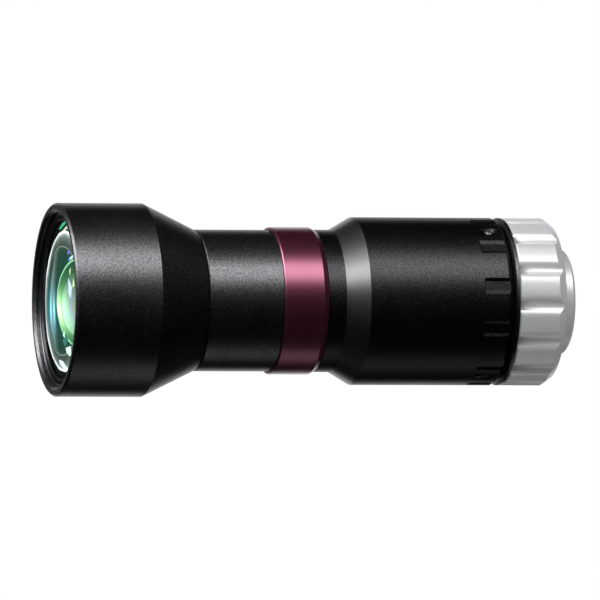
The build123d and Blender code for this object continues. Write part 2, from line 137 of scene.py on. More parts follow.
def blasted(name, color, speck, rough, metallic=0.0, ior=1.5, bump=0.006, grain_mm=0.24, coat=0.0):
    """Fine bead-blasted anodised metal: its colour, roughness and surface vary in tiny grains."""
    mat = new_material(name)
    fine = noise(mat, grain_mm, GRAIN_ROUGHNESS).outputs["Fac"]
    coarse = noise(mat, grain_mm * GRAIN_PATCH).outputs["Fac"]
    grain = ramp(mat, fine, [(0.35, 0.0), (0.68, 1.0)])
    darker = tuple(c * (1 - speck) for c in color)
    lighter = tuple(min(1.0, c * (1 + speck)) for c in color)
    tint = layered(mat, darker, grain.outputs["Color"], lighter)
    reach = DULL_REACH if metallic < 0.5 else BRIGHT_REACH
    own_rough = spread_about(mat, fine, rough, reach)
    patchy = spread_about(mat, coarse, 0.0, PATCH_REACH)
    bumps = node(mat, "ShaderNodeBump", {"Height": fine, "Distance": bump * MM, "Strength": 1.0})
    bsdf = node(
        mat,
        "ShaderNodeBsdfPrincipled",
        {
            "Base Color": tint,
            "Metallic": metallic,
            "Roughness": math_node(mat, "ADD", own_rough, patchy),
            "IOR": ior,
            "Normal": bumps.outputs["Normal"],
            "Coat Weight": coat,
            "Coat Roughness": COAT_ROUGH,
            "Coat IOR": COAT_IOR,
        },
    )
    node(mat, "ShaderNodeOutputMaterial", {"Surface": bsdf.outputs["BSDF"]})
    return mat


COARSE = {"metallic": 1.0, "bump": 0.008, "grain_mm": 0.30}
BLACK = blasted("black_anodised", (0.125, 0.125, 0.13), 0.55, 0.36, **COARSE)
# Painted shade: a darker copy of the black finish for the rear barrel, where less of the key light falls
BLACK_REAR_SHADED = blasted("black_anodised_rear_painted_shade", (0.050, 0.050, 0.053), 0.50, 0.37, **COARSE)
FLARE = blasted("black_flare", (0.22, 0.22, 0.225), 0.08, 0.34, metallic=1.0, bump=0.002)
INNER_BLACK = blasted("black_inner", (0.004, 0.004, 0.0042), 0.3, 0.4, ior=1.5)
MAROON = blasted("maroon_anodised", (0.25, 0.035, 0.095), 0.1, 0.34, metallic=0.9, coat=0.8, bump=0.003)
SILVER = blasted("clear_anodised", (0.88, 0.89, 0.90), 0.03, 0.38, metallic=0.35, bump=0.002)
STEEL = blasted("screw_steel", (0.75, 0.75, 0.76), 0.1, 0.25, metallic=1.0)


DUST_MM = 0.5


def coated_glass(name, tint, stops):
    """Clear coated glass. The stops give the strength and colour of its reflection, face on to edge on."""
    mat = new_material(name)
    facing = node(mat, "ShaderNodeLayerWeight", {"Blend": 0.5}).outputs["Facing"]
    color = ramp(mat, facing, [(pos, rgb) for pos, _, rgb in stops])
    amount = ramp(mat, facing, [(pos, share) for pos, share, _ in stops])
    dust = noise(mat, DUST_MM)
    rough = spread_about(mat, dust.outputs["Fac"], 0.025, 0.015, 0.0, 1.0)
    gloss = node(mat, "ShaderNodeBsdfGlossy", {"Color": color.outputs["Color"], "Roughness": rough})
    through = node(mat, "ShaderNodeBsdfTransparent", {"Color": (*tint, 1)})
    shaders = {0: amount.outputs["Color"], 1: through.outputs["BSDF"], 2: gloss.outputs["BSDF"]}
    mixed = node(mat, "ShaderNodeMixShader", shaders)
    node(mat, "ShaderNodeOutputMaterial", {"Surface": mixed.outputs["Shader"]})
    return mat


GLASS = coated_glass(
    "coated_glass",
    (0.95, 0.98, 0.96),
    [
        (0.0, 0.008, (0.2, 0.9, 0.6)),
        (0.80, 0.012, (0.2, 0.9, 0.6)),
        (0.92, 0.04, (0.3, 0.8, 0.8)),
        (0.965, 0.35, (0.8, 0.95, 0.95)),
        (1.0, 0.95, (1.0, 1.0, 1.0)),
    ],
)
INNER_GLASS = coated_glass(
    "inner_glass",
    (0.85, 0.95, 0.90),
    [(0.0, 0.02, (0.2, 0.8, 0.5)), (0.8, 0.06, (0.3, 0.9, 0.6)), (1.0, 0.6, (0.8, 1.0, 0.9))],
)


def oval(mat, at, centre, half):
    """Distance from the middle of an oval, 1 on its edge; centre and half sizes are in millimetres."""
    squares = []
    for place, middle, reach in zip(at, centre, half):
        share = math_node(mat, "DIVIDE", math_node(mat, "SUBTRACT", place, middle), reach)
        squares.append(math_node(mat, "MULTIPLY", share, share))
    return math_node(mat, "SQRT", math_node(mat, "ADD", *squares))


def bell(mat, value, middle, width):
    """1 at the middle, falling smoothly to 0 about twice the width away."""
    away = math_node(mat, "DIVIDE", math_node(mat, "SUBTRACT", value, middle), width)
    square = math_node(mat, "MULTIPLY", math_node(mat, "MULTIPLY", away, away), -1.0)
    return math_node(mat, "EXPONENT", square)


# How much the painted reflections glow, and the smoothness and index of their face
REFLECTED_GLOW, GLOW_ROUGH, GLOW_IOR = 0.8, 0.15, 1.3


def painted_reflection_surface(mat, color):
    """Painted reflection: a smooth coated face whose colour also glows a little, standing in for the light of
    a reflection.
    """
    bsdf = node(
        mat,
        "ShaderNodeBsdfPrincipled",
        {
            "Base Color": color,
            "Roughness": GLOW_ROUGH,
            "IOR": GLOW_IOR,
            "Emission Color": color,
            "Emission Strength": REFLECTED_GLOW,
        },
    )
    node(mat, "ShaderNodeOutputMaterial", {"Surface": bsdf.outputs["BSDF"]})


# Ovals of the painted reflections, centre and half sizes in millimetres, and the cyan painted highlight
# streaks
RIM_OVAL = ((0.3, -1.2), (13.2, 16.1))
GREEN_OVAL = ((0.6, -17.0), (11.2, 17.0))
DOME_OVAL = ((1.2, -17.0), (8.2, 12.3))
RIM_REACH = 1.4
SWIRL_PER_MM, SWIRL_DEPTH = 0.25, 0.05
CYAN_HIGHLIGHT_STREAKS = ((7.6, 0.9, 1.0), (2.9, 0.9, 0.8))


def painted_group_reflections():
    """Painted reflections of the coated inner lens group, glowing a little: nested ovals, white at the rim,
    then cyan, green and white.
    """
    mat = new_material("painted_group_reflections")
    coord = node(mat, "ShaderNodeTexCoord")
    per_mm = (1 / MM, 1 / MM, 1 / MM)
    large = node(mat, "ShaderNodeVectorMath", {0: coord.outputs["Object"], 1: per_mm}, operation="MULTIPLY")
    parts = node(mat, "ShaderNodeSeparateXYZ", {0: large.outputs[0]})
    x, y = parts.outputs["X"], parts.outputs["Y"]
    settings = {"Vector": large.outputs[0], "Scale": SWIRL_PER_MM, "Detail": FINE_DETAIL}
    swirl = node(mat, "ShaderNodeTexNoise", settings)
    wave = math_node(mat, "MULTIPLY", math_node(mat, "SUBTRACT", swirl.outputs["Fac"], 0.5), SWIRL_DEPTH)
    outer = math_node(mat, "ADD", oval(mat, (x, y), *RIM_OVAL), wave)
    middle = math_node(mat, "ADD", oval(mat, (x, y), *GREEN_OVAL), wave)
    inner = math_node(mat, "ADD", oval(mat, (x, y), *DOME_OVAL), wave)
    # The painted highlights are strongest in bands across the middle of the glass
    waist = bell(mat, x, 2.6, 3.2)
    band = bell(mat, x, 2.8, 5.5)
    color = ramp(
        mat,
        math_node(mat, "DIVIDE", outer, RIM_REACH),
        [
            (0.0, (0.012, 0.045, 0.028)),
            (0.62, (0.015, 0.05, 0.034)),
            (0.700, (0.03, 0.06, 0.045)),
            (0.712, (0.22, 0.27, 0.25)),
            (0.724, (0.04, 0.06, 0.05)),
            (0.78, (0.07, 0.09, 0.08)),
            (0.84, (0.14, 0.17, 0.16)),
            (0.880, (0.40, 0.46, 0.45)),
            (0.897, (1.0, 1.0, 1.0)),
            (0.912, (1.0, 1.0, 1.0)),
            (0.925, (0.004, 0.006, 0.005)),
        ],
    ).outputs["Color"]
    # A painted teal reflection, strongest on the far side of the glass
    teal = math_node(mat, "MULTIPLY", band, 0.85)
    across = math_node(mat, "DIVIDE", y, 20.0)
    far_side = ramp(mat, across, [(0.0, 0.2), (0.12, 0.8), (0.5, 1.0), (0.75, 0.2)]).outputs["Color"]
    color = layered(mat, color, math_node(mat, "MULTIPLY", teal, far_side), (0.05, 0.25, 0.33))
    # Cyan painted highlight streaks
    for place, width, share in CYAN_HIGHLIGHT_STREAKS:
        strength = math_node(mat, "MULTIPLY", waist, share)
        highlight_streak = math_node(mat, "MULTIPLY", bell(mat, y, place, width), strength)
        color = layered(mat, color, highlight_streak, (0.45, 1.0, 1.0))
    inside = ramp(mat, middle, [(0.0, 1.0), (0.985, 1.0), (1.0, 0.0)]).outputs["Color"]
    green = layered(mat, (0.02, 0.07, 0.035), band, (0.20, 0.55, 0.24))
    color = layered(mat, color, inside, green)
    line = ramp(mat, middle, [(0.935, 0.0), (0.96, 1.0), (0.99, 1.0), (1.01, 0.0)]).outputs["Color"]
    color = layered(mat, color, line, (0.25, 0.55, 0.33))
    thick = ramp(mat, middle, [(0.70, 0.0), (0.84, 1.0), (0.97, 1.0), (1.02, 0.0)]).outputs["Color"]
    color = layered(mat, color, math_node(mat, "MULTIPLY", thick, waist), (0.75, 1.0, 0.62))
    dome = ramp(
        mat,
        inner,
        [
            (0.25, (0.25, 0.32, 0.20)),
            (0.5, (0.32, 0.36, 0.42)),
            (0.75, (0.42, 0.72, 0.50)),
            (0.93, (0.60, 1.0, 0.72)),
            (1.0, (0.55, 0.9, 0.62)),
        ],
    ).outputs["Color"]
    # Painted shade: the dome's painted reflections grow darker away from the middle
    shade = bell(mat, x, 3.0, 5.0)
    dome = layered(mat, (0.05, 0.12, 0.06), shade, dome)
    within = ramp(mat, inner, [(0.0, 1.0), (0.97, 1.0), (1.0, 0.0)]).outputs["Color"]
    color = layered(mat, color, within, dome)
    painted_reflection_surface(mat, color)
    return mat


def painted_glint_material():
    """Painted glints: small facets of reflected light, in the colour that their corners carry."""
    mat = new_material("painted_coating_glints")
    tint = node(mat, "ShaderNodeAttribute", attribute_name="tint")
    painted_reflection_surface(mat, tint.outputs["Color"])
    return mat


# Painted reflections and painted glints for the inner group behind the front glass
PAINTED_GROUP_REFLECTIONS = painted_group_reflections()
PAINTED_GLINTS = painted_glint_material()

LOOKS = {
    "black_anodised": BLACK,
    "black_inner": INNER_BLACK,
    "maroon_anodised": MAROON,
    "clear_anodised": SILVER,
    "screw_steel": STEEL,
    "coated_glass": GLASS,
    "inner_glass": INNER_GLASS,
}

# The carried-over solids take the finish of their slot in the record

for part in frame["record"]["subparts"]:
    obj = frame["nodes"][part["node"]]
    obj.data.materials.clear()
    obj.data.materials.append(LOOKS[part["material_slot"]])


# Meshes: every turned piece is a closed section carried round the optical axis


def soften(points, radius=0.08, support=0.04, steps=4):
    """The closed section with its corners rounded. A point may carry its own radius; 0 keeps it sharp."""
    made = []
    count = len(points)
    for i, point in enumerate(points):
        here = Vector(point[:2])
        corner = point[2] if len(point) > 2 else radius
        if corner == 0:
            made.append(here)
            continue
        before = Vector(points[i - 1][:2]) - here
        after = Vector(points[(i + 1) % count][:2]) - here
        if before.length < 1e-6 or after.length < 1e-6:
            made += [here] * (steps + 3)
            continue
        room = 0.4 * min(before.length, after.length)
        before.normalize()
        after.normalize()
        half = max(before.angle(after) / 2, 0.02)
        cut = min(corner / math.tan(half), room)
        guard = min(support, room)
        start, end = here + before * cut, here + after * cut
        made.append(start + before * guard)
        for k in range(steps + 1):
            t = k / steps
            made.append(start * (1 - t) ** 2 + here * (2 * t * (1 - t)) + end * t**2)
        made.append(end + after * guard)
    return made


def skin(name, columns):
    """A mesh through closed sections, each at its own angle in degrees round the axis."""
    verts, faces = [], []
    rows = len(columns[0][1])
    for angle, section in columns:
        along_x, along_y = math.cos(math.radians(angle)), math.sin(math.radians(angle))
        verts += [(r * along_x * MM, r * along_y * MM, z * MM) for r, z in section]
    total = len(columns)
    for i in range(total):
        j = (i + 1) % total
        for k in range(rows):
            m = (k + 1) % rows
            faces.append((i * rows + k, j * rows + k, j * rows + m, i * rows + m))
    return clean_mesh(name, verts, faces)


SHARP_ANGLE = 38


def smooth_normals(mesh):
    """Smooth shading that stays even where narrow faces meet wide ones; sharp corners stay sharp."""
    mesh.shade_smooth()
    mesh.set_sharp_from_angle(angle=math.radians(SHARP_ANGLE))
    count = len(mesh.loops)
    co = np.empty(len(mesh.vertices) * 3)
    mesh.vertices.foreach_get("co", co)
    co = co.reshape(-1, 3)
    vert = np.empty(count, np.int64)
    mesh.loops.foreach_get("vertex_index", vert)
    start = np.empty(len(mesh.polygons), np.int64)
    size = np.empty(len(mesh.polygons), np.int64)
    normal = np.empty(len(mesh.polygons) * 3)
    mesh.polygons.foreach_get("loop_start", start)
    mesh.polygons.foreach_get("loop_total", size)
    mesh.polygons.foreach_get("normal", normal)
    normal = normal.reshape(-1, 3)
    owner = np.repeat(np.arange(len(start)), size)
    place = np.arange(count) - start[owner]
    after = vert[start[owner] + (place + 1) % size[owner]]
    before = vert[start[owner] + (place - 1) % size[owner]]
    here = co[vert]
    spread = np.linalg.norm(co[after] - here, axis=1) * np.linalg.norm(co[before] - here, axis=1)
    total = np.zeros_like(co)
    np.add.at(total, vert, normal[owner] / np.maximum(spread, 1e-14)[:, None])
    length = np.linalg.norm(total, axis=1)
    total /= np.maximum(length, 1e-30)[:, None]
    sharp = np.zeros(len(mesh.edges), bool)
    if "sharp_edge" in mesh.attributes:
        mesh.attributes["sharp_edge"].data.foreach_get("value", sharp)
    ends = np.empty(len(mesh.edges) * 2, np.int64)
    mesh.edges.foreach_get("vertices", ends)
    total[ends.reshape(-1, 2)[sharp].ravel()] = 0
    mesh.normals_split_custom_set_from_vertices(total.tolist())


SAME_POINT = 2e-7


def turn_outwards(mesh, same_point=None):
    """Turns the faces outwards, after merging points that lie closer than same_point, in metres."""
    bm = bmesh.new()
    bm.from_mesh(mesh)
    if same_point:
        bmesh.ops.remove_doubles(bm, verts=bm.verts, dist=same_point)
        bmesh.ops.dissolve_degenerate(bm, edges=bm.edges, dist=same_point / 2)
    bmesh.ops.recalc_face_normals(bm, faces=bm.faces)
    bm.to_mesh(mesh)
    bm.free()


def clean_mesh(name, verts, faces):
    """A closed mesh with its doubles merged and its faces turned outwards."""
    mesh = bpy.data.meshes.new(name)
    mesh.from_pydata(verts, [], faces)
    turn_outwards(mesh, SAME_POINT)
    return mesh


def new_object(name, mesh):
    obj = bpy.data.objects.new(name, mesh)
    scene.collection.objects.link(obj)
    return obj


def fit(obj, body, slot, *stands_for):
    """The piece rides on its body and stands for the solids it is named with."""
    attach(obj, body)
    if stands_for:
        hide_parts(*stands_for)
    return obj


def shell(name, columns, look, body, slot, *stands_for):
    """A finished piece through closed sections."""
    mesh = skin(name, columns)
    smooth_normals(mesh)
    mesh.materials.append(look)
    return fit(new_object(name, mesh), body, slot, *stands_for)


def lathe(name, points, look, body, slot, *stands_for, segments=192):
    """A finished turned piece: the same section all the way round."""
    section = [tuple(p) for p in soften(points)]
    columns = [(i * 360 / segments, section) for i in range(segments)]
    return shell(name, columns, look, body, slot, *stands_for)


# The lens's own sizes, in millimetres

FRONT_R, MID_R, ACCENT_R, NECK_R, REAR_R = 23.35, 17.1, 17.8, 17.2, 20.3
NOSE_R, NOSE_BORE_R, SOCKET_R = 12.7, 10.8, 18.0
Z_TAPER, Z_SEAM, Z_MID = 21.3, 34.2, 34.5
Z_ACCENT, Z_NECK, Z_FLARE, Z_REAR = 53.1, 64.05, 68.45, 73.8
Z_REAR_CHAMFER, Z_REAR_FACE, Z_RING, Z_FLANGE, Z_END = 108.35, 109.8, 111.0, 123.0, 127.0

# The front barrel: rim, mouth with its thread wall, seats for the ring and the glass, taper, spigot
RIM_CHAMFER, MOUTH_R, MOUTH_CHAMFER, Z_MOUTH = 0.5, 21.2, 0.6, 1.5
RING_SEAT_R, Z_RING_SEAT, GLASS_SEAT_R, Z_SHOULDER = 20.35, 2.35, 19.8, 19.52
FRONT_BORE_R, SEAM_R, SPIGOT_R, SPIGOT_BORE_R, Z_SPIGOT_END = 17.8, 16.6, 15.5, 13.8, 40.4

# The mid tube: socket for that spigot, then its own spigot through the accent ring
MID_SOCKET_R, Z_MID_SOCKET_END, MID_CHAMFER = 15.55, 41.0, 0.3
MID_SPIGOT_R, MID_BORE_R, Z_MID_SPIGOT_END = 15.2, 13.4, 69.6

# The accent ring
ACCENT_BORE_R, ACCENT_CHAMFER, ACCENT_BEVEL = 15.25, 0.25, 1.2

lathe(
    "front_barrel_shell",
    [
        (MOUTH_R + MOUTH_CHAMFER, 0, 0.06),
        (FRONT_R - RIM_CHAMFER, 0, 0.10),
        (FRONT_R, RIM_CHAMFER, 0.15),
        (FRONT_R, Z_TAPER, 0.12),
        (MID_R, Z_SEAM, 0.08),
        (SEAM_R, Z_SEAM, 0),
        (SEAM_R, Z_MID, 0),
        (SPIGOT_R, Z_MID, 0),
        (SPIGOT_R, Z_SPIGOT_END, 0),
        (SPIGOT_BORE_R, Z_SPIGOT_END, 0),
        (SPIGOT_BORE_R, Z_SEAM, 0),
        (FRONT_BORE_R, Z_TAPER, 0),
        (FRONT_BORE_R, Z_SHOULDER, 0),
        (GLASS_SEAT_R, Z_SHOULDER, 0),
        (GLASS_SEAT_R, Z_RING_SEAT, 0),
        (RING_SEAT_R, Z_RING_SEAT, 0),
        (RING_SEAT_R, Z_MOUTH, 0),
        (MOUTH_R, Z_MOUTH, 0),
        (MOUTH_R, MOUTH_CHAMFER, 0.04),
    ],
    BLACK,
    "barrel",
    "black_anodised",
    "front_barrel",
)
lathe(
    "mid_tube_shell",
    [
        (MID_SOCKET_R, Z_MID, 0),
        (MID_R - MID_CHAMFER, Z_MID, 0.06),
        (MID_R, Z_MID + MID_CHAMFER, 0.08),
        (MID_R, Z_ACCENT, 0.04),
        (MID_SPIGOT_R, Z_ACCENT, 0),
        (MID_SPIGOT_R, Z_MID_SPIGOT_END, 0),
        (MID_BORE_R, Z_MID_SPIGOT_END, 0),
        (MID_BORE_R, Z_MID_SOCKET_END, 0),
        (MID_SOCKET_R, Z_MID_SOCKET_END, 0),
    ],
    BLACK,
    "barrel",
    "black_anodised",
    "mid_tube",
)
lathe(
    "accent_ring_shell",
    [
        (ACCENT_BORE_R, Z_ACCENT, 0),
        (ACCENT_R - ACCENT_CHAMFER, Z_ACCENT, 0.08),
        (ACCENT_R, Z_ACCENT + ACCENT_CHAMFER, 0.1),
        (ACCENT_R, Z_NECK - ACCENT_BEVEL, 0.12),
        (NECK_R, Z_NECK, 0.08),
        (ACCENT_BORE_R, Z_NECK, 0),
    ],
    MAROON,
    "barrel",
    "maroon_anodised",
    "accent_ring",
)


# The rear barrel: grip slots near its end and holes for the clamp screws

SLOT_COUNT, SLOT_PHASE = 12, 19.0
Z_SLOT = 102.3
SLOT_FLOOR_R, SLOT_HALF_FLOOR, SLOT_FLANK_SLOPE = 19.85, 1.17, 0.95 / 0.45
SLOT_LANDS, EDGE_GAP = 9, 0.3
NECK_CHAMFER, REAR_CHAMFER = 0.2, 1.45
Z_SOCKET_END, Z_WEB, Z_REAR_BORE = 88.0, 78.0, 70.2
WEB_R, REAR_BORE_R = 13.15, 14.0


def polar(x, y):
    return math.degrees(math.atan2(y, x)), math.hypot(x, y)


def slot_outline():
    """Angles and radii of one slot and the land beside it, as the end view shows them."""
    slope = SLOT_FLANK_SLOPE
    # Where the bevelled side, y = half floor + slope * (x - floor radius), meets the round outside
    a = 1 + slope**2
    b = 2 * (SLOT_FLOOR_R + slope * SLOT_HALF_FLOOR)
    c = SLOT_FLOOR_R**2 + SLOT_HALF_FLOOR**2 - REAR_R**2
    depth = (-b + math.sqrt(b * b - 4 * a * c)) / (2 * a)
    floor = (SLOT_FLOOR_R, SLOT_HALF_FLOOR)
    top = (SLOT_FLOOR_R + depth, SLOT_HALF_FLOOR + slope * depth)
    top_angle = polar(*top)[0]
    step = 360 / SLOT_COUNT
    first = top_angle + EDGE_GAP
    width = step - 2 * first
    angles = [first + width * k / SLOT_LANDS for k in range(SLOT_LANDS + 1)]

    def on_land(angle):
        return (REAR_R * math.cos(math.radians(angle)), REAR_R * math.sin(math.radians(angle)), 0)

    path = [on_land(angles[-1] - step)]
    path += [(top[0], -top[1], 0.1), (floor[0], -floor[1], 0.08), (*floor, 0.08), (*top, 0.1)]
    path += [on_land(angle) for angle in angles]
    return [polar(*p) for p in soften(path, 0.1, 0.05, 3)[1:]]


def around(outline, count, phase):
    return [(phase + i * 360 / count + a, r) for i in range(count) for a, r in outline]


def rear_section(r):
    """The rear barrel's section where its outside, behind the slots' front ends, is at radius r."""
    drop = REAR_R - r
    return soften(
        [
            (ACCENT_BORE_R, Z_NECK, 0),
            (NECK_R - NECK_CHAMFER, Z_NECK, 0.06),
            (NECK_R, Z_NECK + NECK_CHAMFER, 0.06),
            (NECK_R, Z_FLARE, 0.1),
            (REAR_R, Z_REAR, 0.15),
            (REAR_R, Z_SLOT, 0.1),
            (r, Z_SLOT, 0.06),
            (r, Z_REAR_CHAMFER + drop, 0.12),
            (REAR_R - REAR_CHAMFER, Z_REAR_FACE, 0.1),
            (SOCKET_R, Z_REAR_FACE, 0.06),
            (SOCKET_R, Z_SOCKET_END, 0),
            (WEB_R, Z_SOCKET_END, 0),
            (WEB_R, Z_WEB, 0),
            (REAR_BORE_R, Z_WEB, 0),
            (REAR_BORE_R, Z_REAR_BORE, 0),
            (ACCENT_BORE_R, Z_REAR_BORE, 0),
        ]
    )


def add_input(tree, name, kind):
    """Adds a named input to a tree and returns the identifier that a modifier sets it by."""
    return tree.interface.new_socket(name, in_out="INPUT", socket_type=kind).identifier


def finished(tree, shape, finish):
    """Ends a tree: copies made real, and the finish put on."""
    real = tree_node(tree, "GeometryNodeRealizeInstances", {0: shape})
    done = tree_node(tree, "GeometryNodeSetMaterial", {"Geometry": real.outputs[0], "Material": finish})
    tree_node(tree, "NodeGroupOutput", {0: done.outputs[0]})


HOLE_SIDES = 40


def screw_hole_tree():
    """Cuts round holes through a wall, evenly spaced round the optical axis."""
    tree = bpy.data.node_groups.new("screw_holes", "GeometryNodeTree")
    add_input(tree, "Wall", "NodeSocketGeometry")
    keys = {
        "Count": add_input(tree, "Count", "NodeSocketInt"),
        "Phase": add_input(tree, "Phase", "NodeSocketFloat"),
        "Ring Radius": add_input(tree, "Ring Radius", "NodeSocketFloat"),
        "Height": add_input(tree, "Height", "NodeSocketFloat"),
        "Hole Radius": add_input(tree, "Hole Radius", "NodeSocketFloat"),
        "Hole Depth": add_input(tree, "Hole Depth", "NodeSocketFloat"),
        "Finish": add_input(tree, "Finish", "NodeSocketMaterial"),
    }
    tree.interface.new_socket("Wall", in_out="OUTPUT", socket_type="NodeSocketGeometry")
    given = tree_node(tree, "NodeGroupInput").outputs
    ring = {"Vertices": given["Count"], "Radius": given["Ring Radius"]}
    circle = tree_node(tree, "GeometryNodeMeshCircle", ring)
    spin = tree_node(tree, "ShaderNodeCombineXYZ", {"Z": given["Phase"]})
    lift = tree_node(tree, "ShaderNodeCombineXYZ", {"Z": given["Height"]})
    moved = {"Geometry": circle.outputs[0], "Rotation": spin.outputs[0], "Translation": lift.outputs[0]}
    place = tree_node(tree, "GeometryNodeTransform", moved)
    drill = {"Vertices": HOLE_SIDES, "Radius": given["Hole Radius"], "Depth": given["Hole Depth"]}
    cutter = tree_node(tree, "GeometryNodeMeshCylinder", drill)
    where = tree_node(tree, "GeometryNodeInputPosition")
    level = {0: where.outputs[0], 1: (1, 1, 0)}
    outward = tree_node(tree, "ShaderNodeVectorMath", level, operation="MULTIPLY")
    aim = tree_node(tree, "FunctionNodeAlignRotationToVector", {"Vector": outward.outputs[0]}, axis="Z")
    spread = {"Points": place.outputs[0], "Instance": cutter.outputs["Mesh"], "Rotation": aim.outputs[0]}
    drills = tree_node(tree, "GeometryNodeInstanceOnPoints", spread)
    cut = tree_node(
        tree,
        "GeometryNodeMeshBoolean",
        {"Mesh 1": given["Wall"], "Mesh 2": drills.outputs[0]},
        operation="DIFFERENCE",
        solver="EXACT",
    )
    finished(tree, cut.outputs["Mesh"], given["Finish"])
    return tree, keys


def grow(obj, made_tree, values):
    """Runs a node tree on the object and keeps what it makes as its plain mesh."""
    tree, keys = made_tree
    step = obj.modifiers.new("made", "NODES")
    step.node_group = tree
    for key, value in values.items():
        step[keys[key]] = value
    graph = bpy.context.evaluated_depsgraph_get()
    made = bpy.data.meshes.new_from_object(obj.evaluated_get(graph))
    obj.modifiers.remove(step)
    made.name = obj.name
    obj.data = made


SCREW_COUNT, SCREW_PHASE, Z_SCREW = 3, 94.0, 105.2
SCREW_HOLE_R, SCREW_HOLE_DEPTH, SCREW_HOLE_MIDDLE_R = 1.25, 5.0, 20.0
FLARE_MARGIN = 0.05

rear_mesh = skin(
    "rear_barrel_shell",
    [(a, rear_section(r)) for a, r in around(slot_outline(), SLOT_COUNT, SLOT_PHASE)],
)
rear_shell = new_object("rear_barrel_shell", rear_mesh)
grow(
    rear_shell,
    screw_hole_tree(),
    {
        "Count": SCREW_COUNT,
        "Phase": math.radians(SCREW_PHASE),
        "Ring Radius": SCREW_HOLE_MIDDLE_R * MM,
        "Height": Z_SCREW * MM,
        "Hole Radius": SCREW_HOLE_R * MM,
        "Hole Depth": SCREW_HOLE_DEPTH * MM,
        "Finish": BLACK_REAR_SHADED,
    },
)
smooth_normals(rear_shell.data)
# The rear barrel takes the darker copy of the black finish, which is painted shade; its flare takes the
# lighter black
rear_shell.data.materials.clear()
rear_shell.data.materials.append(BLACK_REAR_SHADED)
rear_shell.data.materials.append(FLARE)
for face in rear_shell.data.polygons:
    z = face.center.z / MM
    if Z_FLARE + FLARE_MARGIN < z < Z_REAR - FLARE_MARGIN and face.center.xy.length > NECK_R * MM:
        face.material_index = 1
fit(rear_shell, "barrel", "black_anodised", "rear_barrel")


# The sleeve that carries the mount: it turns in the rear barrel and has a V-groove for the screws

SLEEVE_R, SLEEVE_BORE_R, SLEEVE_LEAD, Z_SLEEVE = 17.95, 13.65, 0.4, 98.0
GROOVE_DEPTH, FLANGE_STEP_R, FLANGE_RISE = 1.2, 19.1, 0.4
Z_FLANGE_FACE, SLEEVE_SPIGOT_R, Z_SLEEVE_END = 109.9, 15.9, 116.0

lathe(
    "mount_sleeve_shell",
    [
        (SLEEVE_BORE_R, Z_SLEEVE, 0),
        (SLEEVE_R - SLEEVE_LEAD, Z_SLEEVE, 0),
        (SLEEVE_R, Z_SLEEVE + SLEEVE_LEAD, 0),
        (SLEEVE_R, Z_SCREW - GROOVE_DEPTH, 0),
        (SLEEVE_R - GROOVE_DEPTH, Z_SCREW, 0),
        (SLEEVE_R, Z_SCREW + GROOVE_DEPTH, 0),
        (SLEEVE_R, Z_FLANGE_FACE, 0),
        (FLANGE_STEP_R, Z_FLANGE_FACE, 0.08),
        (REAR_R, Z_FLANGE_FACE + FLANGE_RISE, 0.08),
        (REAR_R, Z_RING, 0.06),
        (SLEEVE_SPIGOT_R, Z_RING, 0),
        (SLEEVE_SPIGOT_R, Z_SLEEVE_END, 0),
        (SLEEVE_BORE_R, Z_SLEEVE_END, 0),
    ],
    BLACK,
    "mount",
    "black_anodised",
    "mount_sleeve",
)


# The filter thread in the front mouth

THREAD_TURNS, THREAD_START, THREAD_LENGTH = 4.0, 0.70, 0.72
THREAD_STEPS, CREST_SIDES, CREST_R, CREST_SINK = 144, 8, 0.07, 0.02


def filter_thread_tree():
    """A fine raised line wound along the wall of the front mouth."""
    tree = bpy.data.node_groups.new("filter_thread", "GeometryNodeTree")
    keys = {
        "Turns": add_input(tree, "Turns", "NodeSocketFloat"),
        "Wall Radius": add_input(tree, "Wall Radius", "NodeSocketFloat"),
        "Start": add_input(tree, "Start", "NodeSocketFloat"),
        "Length": add_input(tree, "Length", "NodeSocketFloat"),
        "Crest Radius": add_input(tree, "Crest Radius", "NodeSocketFloat"),
        "Finish": add_input(tree, "Finish", "NodeSocketMaterial"),
    }
    tree.interface.new_socket("Thread", in_out="OUTPUT", socket_type="NodeSocketGeometry")
    given = tree_node(tree, "NodeGroupInput").outputs
    winding = {
        "Resolution": THREAD_STEPS,
        "Rotations": given["Turns"],
        "Start Radius": given["Wall Radius"],
        "End Radius": given["Wall Radius"],
        "Height": given["Length"],
    }
    path = tree_node(tree, "GeometryNodeCurveSpiral", winding)
    round_crest = {"Resolution": CREST_SIDES, "Radius": given["Crest Radius"]}
    crest = tree_node(tree, "GeometryNodeCurvePrimitiveCircle", round_crest)
    swept = {"Curve": path.outputs[0], "Profile Curve": crest.outputs[0], "Fill Caps": True}
    sweep = tree_node(tree, "GeometryNodeCurveToMesh", swept)
    lift = tree_node(tree, "ShaderNodeCombineXYZ", {"Z": given["Start"]})
    raised = {"Geometry": sweep.outputs[0], "Translation": lift.outputs[0]}
    place = tree_node(tree, "GeometryNodeTransform", raised)
    finished(tree, place.outputs[0], given["Finish"])
    return tree, keys


thread = new_object("filter_thread", bpy.data.meshes.new("filter_thread"))
grow(
    thread,
    filter_thread_tree(),
    {
        "Turns": THREAD_TURNS,
        "Wall Radius": (MOUTH_R + CREST_SINK) * MM,
        "Start": THREAD_START * MM,
        "Length": THREAD_LENGTH * MM,
        "Crest Radius": CREST_R * MM,
        "Finish": BLACK,
    },
)
turn_outwards(thread.data)
thread.data.shade_smooth()
fit(thread, "barrel", "black_anodised")


# The turning camera mount: hollow grip flutes round the ring, then the nose

FLUTE_COUNT, FLUTE_PHASE = 14, -87.3
FLUTE_DEPTH, FLUTE_FLOOR_R, FLUTE_BLEND_R = 0.9, 1.9, 2.4
FLOOR_STEPS, BLEND_STEPS, FLUTE_LANDS = 7, 6, 6
RING_FRONT_CHAMFER, RING_REAR_BEVEL, RING_REAR_DROP = 0.47, 2.03, 1.5
NOSE_CHAMFER, NOSE_BORE_CHAMFER = 0.6, 0.3
MOUNT_BORE_R, CELL_CLEAR_R = 15.95, 13.4
Z_NOSE_WEB, Z_MOUNT_SEAT = 119.2, 116.2


